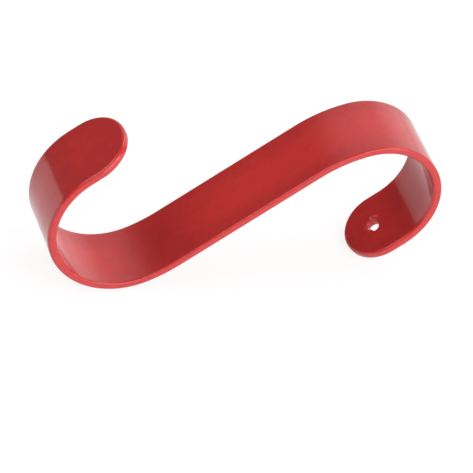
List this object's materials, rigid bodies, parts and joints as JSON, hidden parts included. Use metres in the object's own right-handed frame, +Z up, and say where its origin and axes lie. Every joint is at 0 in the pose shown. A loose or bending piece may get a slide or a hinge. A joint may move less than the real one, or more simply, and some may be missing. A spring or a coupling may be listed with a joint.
{
  "type": "utility hook",
  "caption": "Flat strip hook bent into an S, with two open loops, round ends and one small hanging hole in one tip.",
  "frame": {"origin": "on the table under the middle of the hook's length, halfway across the strip", "axes": "+X along the hook's length, from the left loop to the right loop; +Y across the strip; +Z up from the table that the hook stands on"},
  "size_m": [0.159, 0.0304, 0.0679],
  "materials": {
    "red_coating": "gloss"
  },
  "bodies": {
    "root": {"hook_strip": "red_coating"}
  },
  "joints": []
}
